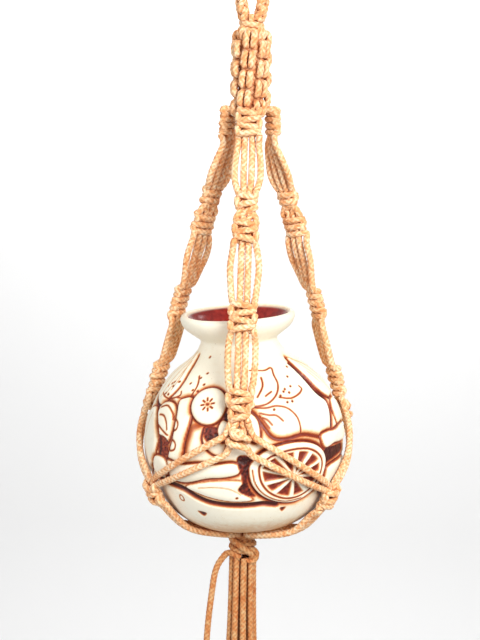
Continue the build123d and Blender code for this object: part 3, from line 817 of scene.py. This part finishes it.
class Decoration:
    """Height over the plain body, in mm, and dark stain, at each direction from the pot's centre."""

    def __init__(self, spots):
        self.spots = spots
        self.height = np.zeros(len(spots))
        self.stain = np.zeros(len(spots))

    def near(self, line, margin):
        """Which spots may lie within this many mm of a line, and the line's middle."""
        centre = line.mean(axis=0)
        centre /= np.linalg.norm(centre)
        reach = math.acos(max(-1.0, min(1.0, float((line @ centre).min())))) + margin / PLAIN_R
        return np.nonzero(self.spots @ centre > math.cos(reach))[0], centre

    def away(self, line, chosen):
        """How far these spots are from a line, in mm."""
        spots = self.spots[chosen] * PLAIN_R
        nearest = np.full(len(chosen), 1e9)
        for a, b in zip(line[:-1] * PLAIN_R, line[1:] * PLAIN_R):
            along = b - a
            share = np.clip((spots - a) @ along / max(along @ along, 1e-9), 0.0, 1.0)
            nearest = np.minimum(nearest, np.linalg.norm(spots - a - share[:, None] * along, axis=1))
        return nearest

    def inside(self, outline, chosen, centre):
        """Which of these spots are inside an outline, seen flat from its middle."""
        across = np.cross([0.0, 0.0, 1.0], centre)
        across /= np.linalg.norm(across)
        up = np.cross(centre, across)

        def flat(vectors):
            return vectors @ across / (vectors @ centre), vectors @ up / (vectors @ centre)

        x, y = flat(self.spots[chosen])
        hits = np.zeros(len(chosen), bool)
        outline_x, outline_y = flat(outline)
        for x0, y0, x1, y1 in zip(outline_x, outline_y, np.roll(outline_x, -1), np.roll(outline_y, -1)):
            crosses = (y0 > y) != (y1 > y)
            hits ^= crosses & (x < (x1 - x0) * (y - y0) / (y1 - y0 + 1e-12) + x0)
        return hits

    def carve(self, line, width=0.75, depth=0.55, stain=0.85):
        """An incised line, stained in its bottom."""
        line = rounded(line, False)
        chosen = self.near(line, 4.0)[0]
        cut = np.exp(-(self.away(line, chosen) / width) ** 2)
        self.height[chosen] -= depth * cut
        self.stain[chosen] = np.maximum(self.stain[chosen], stain * cut)

    def shape(self, outline, level=1.3, edge=3.6, gap=1.5, gap_width=1.4, stain=0.9, halo=0.24):
        """A raised shape with a rounded edge, and a stained gap all round it that fades outwards."""
        outline = rounded(outline)
        chosen, centre = self.near(outline, 10.0)
        away = self.away(np.concatenate([outline, outline[:1]]), chosen)
        inside = self.inside(outline, chosen, centre)
        rise = np.sqrt(1 - (1 - np.clip(away / edge, 0.0, 1.0)) ** 2)
        height, dark = self.height[chosen], self.stain[chosen]
        around = np.exp(-(away / gap_width) ** 2)
        outside = np.minimum(height, -gap * around + np.maximum(height, 0.0) * (1 - around))
        faded = stain * around + halo * np.exp(-(away / HALO_WIDTH) ** 2) * (1 - around)
        line = LINE_STAIN * stain * np.exp(-(away / LINE_WIDTH) ** 2)
        self.height[chosen] = np.where(inside, GAP_SHARE * -gap + (level + GAP_SHARE * gap) * rise, outside)
        self.stain[chosen] = np.where(inside, line, np.maximum(dark, faded))

    def hollow(self, outline, depth=2.0, stain=1.0, berries=0.0):
        """A deep stained gap, with small round berries in it."""
        outline = rounded(outline)
        chosen, centre = self.near(outline, 5.0)
        away = self.away(np.concatenate([outline, outline[:1]]), chosen)
        away = np.where(self.inside(outline, chosen, centre), 1, -1) * away
        sunk = ease((away + HOLLOW_EDGE) / HOLLOW_SLOPE)
        beads = np.zeros(len(chosen))
        if berries:
            spots = self.spots[chosen] * PLAIN_R
            within = np.nonzero(away > 0.6)[0]
            for _ in range(min(MOST_BERRIES, len(within) // 4)):
                middle = spots[within[int(random.random() * len(within))]]
                reach = np.linalg.norm(spots - middle, axis=1) / (1.0 + 0.4 * random.random())
                beads = np.maximum(
                    beads, np.sqrt(np.clip(1 - reach**2, 0.0, 1.0)) * (0.55 + 0.45 * random.random()))
        self.height[chosen] = self.height[chosen] * (1 - sunk) + sunk * (berries * beads - depth)
        self.stain[chosen] = np.maximum(self.stain[chosen], sunk * (stain - 0.4 * beads * min(1.0, berries)))

    def band(self, line, width, depth=1.6, stain=0.95):
        """A wide stained channel."""
        line = rounded(line, False)
        chosen = self.near(line, 8.0)[0]
        sunk = ease(1.45 - self.away(line, chosen) / width)
        self.height[chosen] = self.height[chosen] * (1 - sunk) - depth * sunk
        self.stain[chosen] = np.maximum(self.stain[chosen], stain * sunk)

    def dot(self, azimuth, elevation, radius=0.85):
        self.carve([(azimuth, elevation), (azimuth + 0.3, elevation + 0.2)], radius, 0.8, 1.15)

    def wash(self, line, width, strength):
        """Thin brown colour brushed along a line."""
        line = rounded(line, False)
        chosen = self.near(line, 3 * width)[0]
        brushed = strength * np.exp(-(self.away(line, chosen) / width) ** 2)
        self.stain[chosen] = np.maximum(self.stain[chosen], brushed)


def turned(x, y, turn):
    return x * math.cos(turn) - y * math.sin(turn), x * math.sin(turn) + y * math.cos(turn)


def beside(azimuth, elevation, x, y):
    """The place this many mm to the right of and above another on the pot."""
    level = PLAIN_R * math.cos(math.radians(elevation))
    return azimuth + math.degrees(x / level), elevation + math.degrees(y / PLAIN_R)


def round_outline(place, radius, squash=1.0, turn=0.0, wobble=0.03):
    """A nearly round outline on the pot."""
    outline = []
    for step in range(20):
        angle = 2 * math.pi * step / 20
        reach = radius * (1 + wobble * math.sin(3 * angle + place[0]))
        outline.append(beside(
            *place, *turned(reach * math.cos(angle), reach * squash * math.sin(angle), turn)))
    return outline


def add_flower(pot, place, radius):
    """A thick round petal disc with a small stained star of eight petals in the middle."""
    pot.shape(round_outline(place, radius, 1.04), level=1.5, edge=5.5, gap=2.2, gap_width=1.5, stain=0.95)
    azimuth, elevation = place
    shrink = math.cos(math.radians(elevation))
    for petal in range(PETALS):
        angle = 2 * math.pi * (petal + 0.25) / PETALS
        ray = [(azimuth + reach * math.cos(angle) / shrink, elevation + reach * math.sin(angle))
               for reach in (STAR_INNER, STAR_OUTER)]
        pot.carve(ray, 0.75, 0.5, 1.0)
    pot.carve([(azimuth - 0.4, elevation), (azimuth + 0.4, elevation)], 1.5, 0.4, 0.8)


def add_orange(pot):
    """A slice of orange: a double rind, and sunken segments between pale spokes."""
    pot.shape(ORANGE, level=1.4, edge=3.4, gap=2.4, gap_width=1.9, stain=1.0, halo=0.35)
    flesh = rounded(ORANGE_FLESH)
    pot.carve(np.concatenate([flesh, flesh[:1]]), 0.75, 0.6, 1.0)
    centre = directions(*ORANGE_CENTRE)
    for number in range(SEGMENTS):
        first = int(round(number * len(flesh) / SEGMENTS)) + 1
        last = int(round((number + 1) * len(flesh) / SEGMENTS)) - 1
        middle = flesh[first:last + 1].mean(axis=0)
        rim = [centre * 0.1 + flesh[spot] * 0.9 for spot in (first, (first + last) // 2, last)]
        sides = [centre * 0.5 + flesh[spot] * 0.5 + (middle - flesh[spot]) * 0.06 for spot in (last, first)]
        corners = np.array([*rim, sides[0], centre * 0.86 + middle * 0.14, sides[1]])
        outline = np.concatenate([
            a[None] * (1 - share) + b[None] * share
            for a, b in zip(corners, np.roll(corners, -1, axis=0)) for share in (0.0, 0.33, 0.67)])
        outline /= np.linalg.norm(outline, axis=1)[:, None]
        pot.hollow(outline, depth=0.6, stain=0.92, berries=0.4)
    pot.carve([(30.6, -9.6), (31.4, -9.6)], 1.5, 0.7, 1.0)
    pot.carve(ORANGE_RIND, 0.5, 0.5, 0.9)


def add_back(pot):
    """The unseen side: leaves with three veins, flowers, a band and a few plain curls and dots."""
    for azimuth, elevation, length, width, turn in BACK_LEAVES:
        turn = math.radians(turn)
        outline = round_outline((azimuth, elevation), length, width / length, turn, 0.08)
        pot.shape(outline, level=1.4, edge=5.0, gap=2.1, gap_width=1.6)
        for offset in (-0.4, 0.0, 0.4):
            vein = [(share * length * (1 - abs(offset) / 2), offset * width * (1 - share * share))
                    for share in (-0.75, -0.25, 0.25, 0.75)]
            pot.carve([beside(azimuth, elevation, *turned(x, y, turn)) for x, y in vein], 0.5, 0.4, 0.6)
    for place, radius in BACK_FLOWERS:
        add_flower(pot, place, radius)
    pot.band([(azimuth, -27 + 2.5 * math.sin(math.radians(azimuth * 3))) for azimuth in range(76, 300, 8)],
             2.1, 1.9, 0.95)


def decorate(spots):
    """Everything on the pot, from left to right in front, each thing over what is there already."""
    pot = Decoration(spots)
    for outline in (VEINED_LEAF, EDGE_LEAF, CURLED_LEAF):
        pot.shape(outline, edge=4.6, gap=2.0)
    pot.band(LEFT_GAP, 2.0, 2.4, 1.05)
    pot.hollow(BERRIES_LEFT, 1.9, 1.0, 1.0)
    pot.wash(rounded(CURLED_LEAF), 2.5, 0.25)
    pot.shape(STICK, level=1.5, edge=3.8, gap=2.4, gap_width=2.2)
    pot.wash(STICK_GAP, 3.8, 0.62)
    pot.hollow(UNDER_FLOWER, 1.8, 1.15, 1.3)
    pot.hollow(BERRIES_MIDDLE, 1.9, 1.25, 1.3)
    pot.shape(SMALL_PETAL, level=1.0, edge=2.8)
    add_flower(pot, FLOWER_CENTRE, FLOWER_R)
    pot.carve(UNDER_LEAF, 1.0, 0.8, 1.05)
    pot.wash(UNDER_LEAF, 2.6, 0.34)
    for outline in (BOTTOM_LEAF, JOINT_LEAF):
        pot.shape(outline, level=1.5, edge=5.5, gap=2.0, gap_width=1.4)
    pot.hollow(MIDDLE_RECESS, 2.2, 1.2, 1.4)
    pot.shape(LOWER_LEAF, level=0.8, edge=6.0, gap=1.0, gap_width=0.9, stain=0.6)
    pot.carve(LOWER_LEAF_VEIN, 0.5, 0.35, 0.45)
    pot.band(SMILE, 2.5, 2.2, 1.0)
    pot.band(RIGHT_CONTOUR, 1.6, 1.4, 0.85)
    pot.wash(RIGHT_CONTOUR, 3.6, 0.55)
    pot.shape(OVAL, edge=4.0, gap=1.6)
    add_orange(pot)
    pot.band(RIGHT_GAP, 2.5, 2.4, 1.05)
    for outline in (RIGHT_LEAF, SIDE_LEAF, LOW_RIGHT_LEAF):
        pot.shape(outline, level=1.5, edge=5.0, gap=2.2, gap_width=1.7, stain=1.0)
    pot.hollow(RIBBON_GAP, 2.4, 1.15, 0.5)
    pot.shape(RIBBON, level=1.5, edge=3.6, gap=2.0, gap_width=1.6)
    add_back(pot)
    for line in LINES + HALF_RINGS + CURLS_LEFT:
        pot.carve(line)
    for line in LEAF_VEINS + EDGE_LEAF_VEINS + RIGHT_LEAF_VEINS:
        pot.carve(line, 0.5, 0.4, 0.45)
    for place in DOTS:
        pot.dot(*place)
    pot.carve(rounded(round_outline((-40.5, -22.8), 2.0, 1.3)), 0.6, 0.5, 0.8)
    for notch in NOTCHES:
        pot.hollow(notch, 0.9, 1.0)
    for turn in (150, 205, 262):
        for line in (LINES[0], LINES[10]):
            pot.carve([(azimuth + turn, elevation) for azimuth, elevation in line])
        for azimuth, elevation in DOTS[10:17]:
            pot.dot(azimuth + turn, elevation + 4)
    return np.clip(pot.height, LOWEST, HIGHEST), np.clip(pot.stain, 0.0, DARKEST)


# ---- the pot's meshes

# The outer profile above the round body, then over the rim and down inside: (radius, height).
SHOULDER = [(41.8, 61.9), (38.2, 64.6), (35.0, 67.4), (32.3, 70.6), (30.2, 73.8), (28.8, 77.2), (29.4, 79.8),
            (32.4, 82.2), (36.4, 85.2), (39.8, 88.2), (42.0, 91.4), (43.0, 94.4), (42.8, 96.8), (41.4, 98.3),
            (39.6, 98.6), (38.0, 97.6), (35.4, 94.6), (31.6, 90.6), (27.6, 86.0), (24.6, 80.8), (23.6, 76.0),
            (24.0, 71.0), (26.6, 66.4), (34.0, 61.4)]
HEEL = [(34.0, -62.0), (37.6, -61.4), (42.0, -59.4), (50.0, -54.4), (57.0, -48.3)]
BASE = [(6.0, -60.2), (20.0, -60.2), (30.6, -60.6), (31.8, -61.4), (32.8, -62.0), (34.0, -62.0)]
CAVITY_R, CAVITY_FLOOR = 70.2, (20.0, -57.6)
C_CARVED_TOP, CARVED_TOP_FADE, C_CARVED_FOOT, CARVED_FOOT_FADE = 72.5, 3.0, -56.0, 6.0
# Below this height the body turns tan, darker towards the bottom.
C_TAN_FROM, TAN_FADE = -40.0, 20.0
LIP_STAIN, LIP_WAVE = 0.2, 0.18
CARVED_TO, GLAZE_STARTS = 4, 16   # profile points where the carved body ends and the dark red glaze starts
FOOT_TAN = 0.30                 # the tan colour round the foot


def profile_line(points, step):
    """A smooth line through profile points, with even steps."""
    corners = np.array([(radius, 0.0, height) for radius, height in (points[0], *points, points[-1])])
    return evenly(np.concatenate([smooth(corners, 8), corners[-1:]]), step)[0][:, (0, 2)]


# Fine steps in front, coarser ones behind.
FRONT_EDGE, FRONT_COLUMNS, BACK_COLUMNS = 112, 368, 76
AZIMUTHS = np.concatenate([np.linspace(-FRONT_EDGE, FRONT_EDGE, FRONT_COLUMNS, endpoint=False),
                           np.linspace(FRONT_EDGE, 360 - FRONT_EDGE, BACK_COLUMNS, endpoint=False)])
PLAIN_AZIMUTHS = np.arange(0.0, 360.0, 2.0)


def arc(radius, *turns):
    turn = np.radians(np.linspace(*turns))
    return np.stack([np.cos(turn), np.sin(turn)], axis=1) * radius


def nearest(profile, place):
    return int(np.argmin(np.hypot(profile[:, 0] - place[0], profile[:, 1] - place[1])))


def pot_mesh(name, profile, azimuths, heights, stain, glaze, closed_row=None):
    """A body of revolution about the pot's axis, with a height off each point of it."""
    rows, columns = len(profile), len(azimuths)
    along = np.gradient(profile, axis=0)
    along /= np.linalg.norm(along, axis=1)[:, None]
    radius = profile[:, :1] + along[:, 1:] * np.broadcast_to(heights, (rows, columns))
    level = profile[:, 1:] - along[:, :1] * heights
    turn = np.radians(azimuths)[None, :]
    local = np.stack(np.broadcast_arrays(np.sin(turn) * radius, -np.cos(turn) * radius, level), axis=-1)
    cos, sin = math.cos(POT_TILT), math.sin(POT_TILT)
    lean = np.array([[cos, 0, -sin], [0, 1, 0], [sin, 0, cos]])
    index = np.arange(rows * columns).reshape(rows, columns)
    after = np.roll(index, -1, axis=1)
    faces = np.stack([index[:-1], after[:-1], after[1:], index[1:]], axis=-1).reshape(-1, 4).tolist()
    if closed_row is not None:
        ring = index[closed_row].tolist()
        faces.append(ring if closed_row else ring[::-1])
    values = {"stain": stain, "glaze": glaze}
    values = {key: np.broadcast_to(value, (rows, columns)).ravel() for key, value in values.items()}
    places = (local.reshape(-1, 3) @ lean.T + POT_CENTRE) * MM
    piece = add_mesh(name, places, faces, ceramic_material(), values)
    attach(piece, "pot")
    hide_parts("pot")


def make_pot():
    """The carved body, then the mouth and inside, then the foot."""
    shoulder = profile_line(SHOULDER, 0.8)
    lip = nearest(shoulder, SHOULDER[CARVED_TO])
    outer = np.concatenate([profile_line(HEEL, 0.9)[:-1], arc(PLAIN_R, -40, 56, 176)[1:-1], shoulder[:lip]])
    elevations = np.degrees(np.arctan2(outer[:, 1], outer[:, 0]))
    grid = np.meshgrid(AZIMUTHS, elevations)
    heights, stain = decorate(directions(grid[0].ravel(), grid[1].ravel()))
    level = outer[:, 1:]
    fade = ease((C_CARVED_TOP - level) / CARVED_TOP_FADE) * ease((level - C_CARVED_FOOT) / CARVED_FOOT_FADE)
    # Tan, darker towards the bottom.
    tan_towards_foot = FOOT_TAN * ease((C_TAN_FROM - level) / TAN_FADE)
    heights, stain = heights.reshape(len(outer), -1) * fade, stain.reshape(len(outer), -1) * fade + tan_towards_foot
    pot_mesh("pot_carved_body", outer, AZIMUTHS, heights, stain, 0.0)
    inside = np.concatenate([shoulder[lip - 1:], arc(CAVITY_R, 58.0, -58.0, 60), [CAVITY_FLOOR]])
    past = (np.arange(len(inside)) - nearest(inside, SHOULDER[GLAZE_STARTS]))[:, None]
    glaze = ease((past + 5.5) / 3.0)
    edge = LIP_STAIN * np.exp(-((past + 5.0) / 1.6) ** 2)
    wave = LIP_WAVE * np.sin(np.radians(PLAIN_AZIMUTHS * 3 + 40))[None, :]
    pot_mesh("pot_mouth_and_inside", inside, PLAIN_AZIMUTHS, wave, edge, glaze, -1)
    pot_mesh("pot_foot", np.array(BASE), PLAIN_AZIMUTHS, 0.0, FOOT_TAN, 0.0, 0)


CLAY_TONES = [(0.0, (0.86, 0.81, 0.67)), (0.13, (0.82, 0.73, 0.56)), (0.3, (0.70, 0.43, 0.22)),
              (0.52, (0.45, 0.11, 0.025)), (0.78, (0.22, 0.022, 0.007)), (1.0, (0.05, 0.004, 0.002))]
RED_TONES = [(0.3, (0.16, 0.008, 0.006)), (0.7, (0.30, 0.022, 0.014))]
SPECK_COLOUR = (0.36, 0.22, 0.13, 1.0)


@functools.cache
def ceramic_material():
    """Cream glazed clay with a dark red-brown stain in its carvings, and a glossy dark red inside."""
    look = Look("stained_ceramic")
    stain, glaze = look.attribute("stain"), look.attribute("glaze")
    coordinates = look.node("TexCoord", {}, "Object")
    brush = look.noise(coordinates, 260.0, 4.0)
    uneven = look.node("Math", {0: brush, 1: 0.22, 2: -0.11}, operation="MULTIPLY_ADD")
    total = look.node("Math", {0: stain, 1: uneven}, operation="ADD")
    speck = look.span(look.noise(coordinates, 900.0, 1.0), from_min=0.72, from_max=0.78, to_max=0.55)
    clay = look.mix(speck, look.ramp(total, CLAY_TONES), SPECK_COLOUR)
    return look.finish(
        Base_Color=look.mix(glaze, clay, look.ramp(brush, RED_TONES)),
        Normal=look.relief(brush, 0.25, 0.0003),
        Roughness=look.span(glaze, to_min=0.46, to_max=0.12), Specular_IOR_Level=0.4)


# ---- light and floor

LIGHTS = [  # name, place, aim, size, power, colour
    ("key", (0.62, -1.0, 0.28), (0, 0, -0.28), 0.7, 23, (1.0, 0.985, 0.95)),
    ("fill", (-1.3, -1.0, 0.0), (0, 0, -0.35), 1.2, 13, (1.0, 1.0, 1.0)),
    ("back", (0.4, 1.1, 0.9), (0, 0.2, -0.35), 1.0, 12, (1.0, 1.0, 1.0)),
    ("wall", (0.0, 2.9, 0.9), (0, 4.4, -1.1), 2.4, 60, (1.0, 1.0, 1.0)),
]
FLOOR_Z, WALL_Y, WALL_TOP, BEND_R, HALF_WIDTH, FLOOR_FRONT = -2.6, 4.4, 2.6, 0.8, 7.0, -6.0
WORLD_STRENGTH = 0.5


def make_light(name, place, aim, size, power, colour):
    data = bpy.data.lights.new(name, "AREA")
    data.shape, data.size, data.energy, data.color = "DISK", size, power, colour
    lamp = add_object(name, data)
    lamp.visible_camera = False
    turned = (Vector(aim) - Vector(place)).to_track_quat("-Z", "Y")
    lamp.matrix_world = Matrix.Translation(Vector(place)) @ turned.to_matrix().to_4x4()


def make_stage():
    """A plain pale sweep: a floor well below the hanging planter, curving up into a back wall."""
    outline = [(FLOOR_FRONT, FLOOR_Z)]
    for step in range(13):
        angle = math.radians(-90 + 90 * step / 12)
        outline.append((WALL_Y - BEND_R + BEND_R * math.cos(angle),
                        FLOOR_Z + BEND_R + BEND_R * math.sin(angle)))
    outline.append((WALL_Y, WALL_TOP))
    places = np.array([(x, y, z) for y, z in outline for x in (-HALF_WIDTH, HALF_WIDTH)])
    faces = [(2 * i, 2 * i + 1, 2 * i + 3, 2 * i + 2) for i in range(len(outline) - 1)]
    pale = Look("pale_sweep").finish(Base_Color=(0.88, 0.88, 0.88, 1.0), Roughness=0.9)
    add_mesh("sweep", places, faces, pale)


def make_world():
    world = bpy.data.worlds.new("studio")
    bpy.context.scene.world = world
    world.use_nodes = True
    background = world.node_tree.nodes["Background"]
    background.inputs["Color"].default_value = (1.0, 1.0, 1.0, 1.0)
    background.inputs["Strength"].default_value = WORLD_STRENGTH


# ---- everything

# The cords and berries draw random numbers in this order.

make_camera()
for number, route in enumerate(TASSEL_ROUTES, start=1):
    free_cord(f"tassel_cord_{number:02d}", route)
free_cord("wrap_tail", WRAP_TAIL_ROUTE)
make_hanger()
make_loop()
make_binding()
make_base_knot()
make_pot()
make_stage()
make_world()
for light in LIGHTS:
    make_light(*light)
bpy.context.scene.view_settings.view_transform = "Standard"
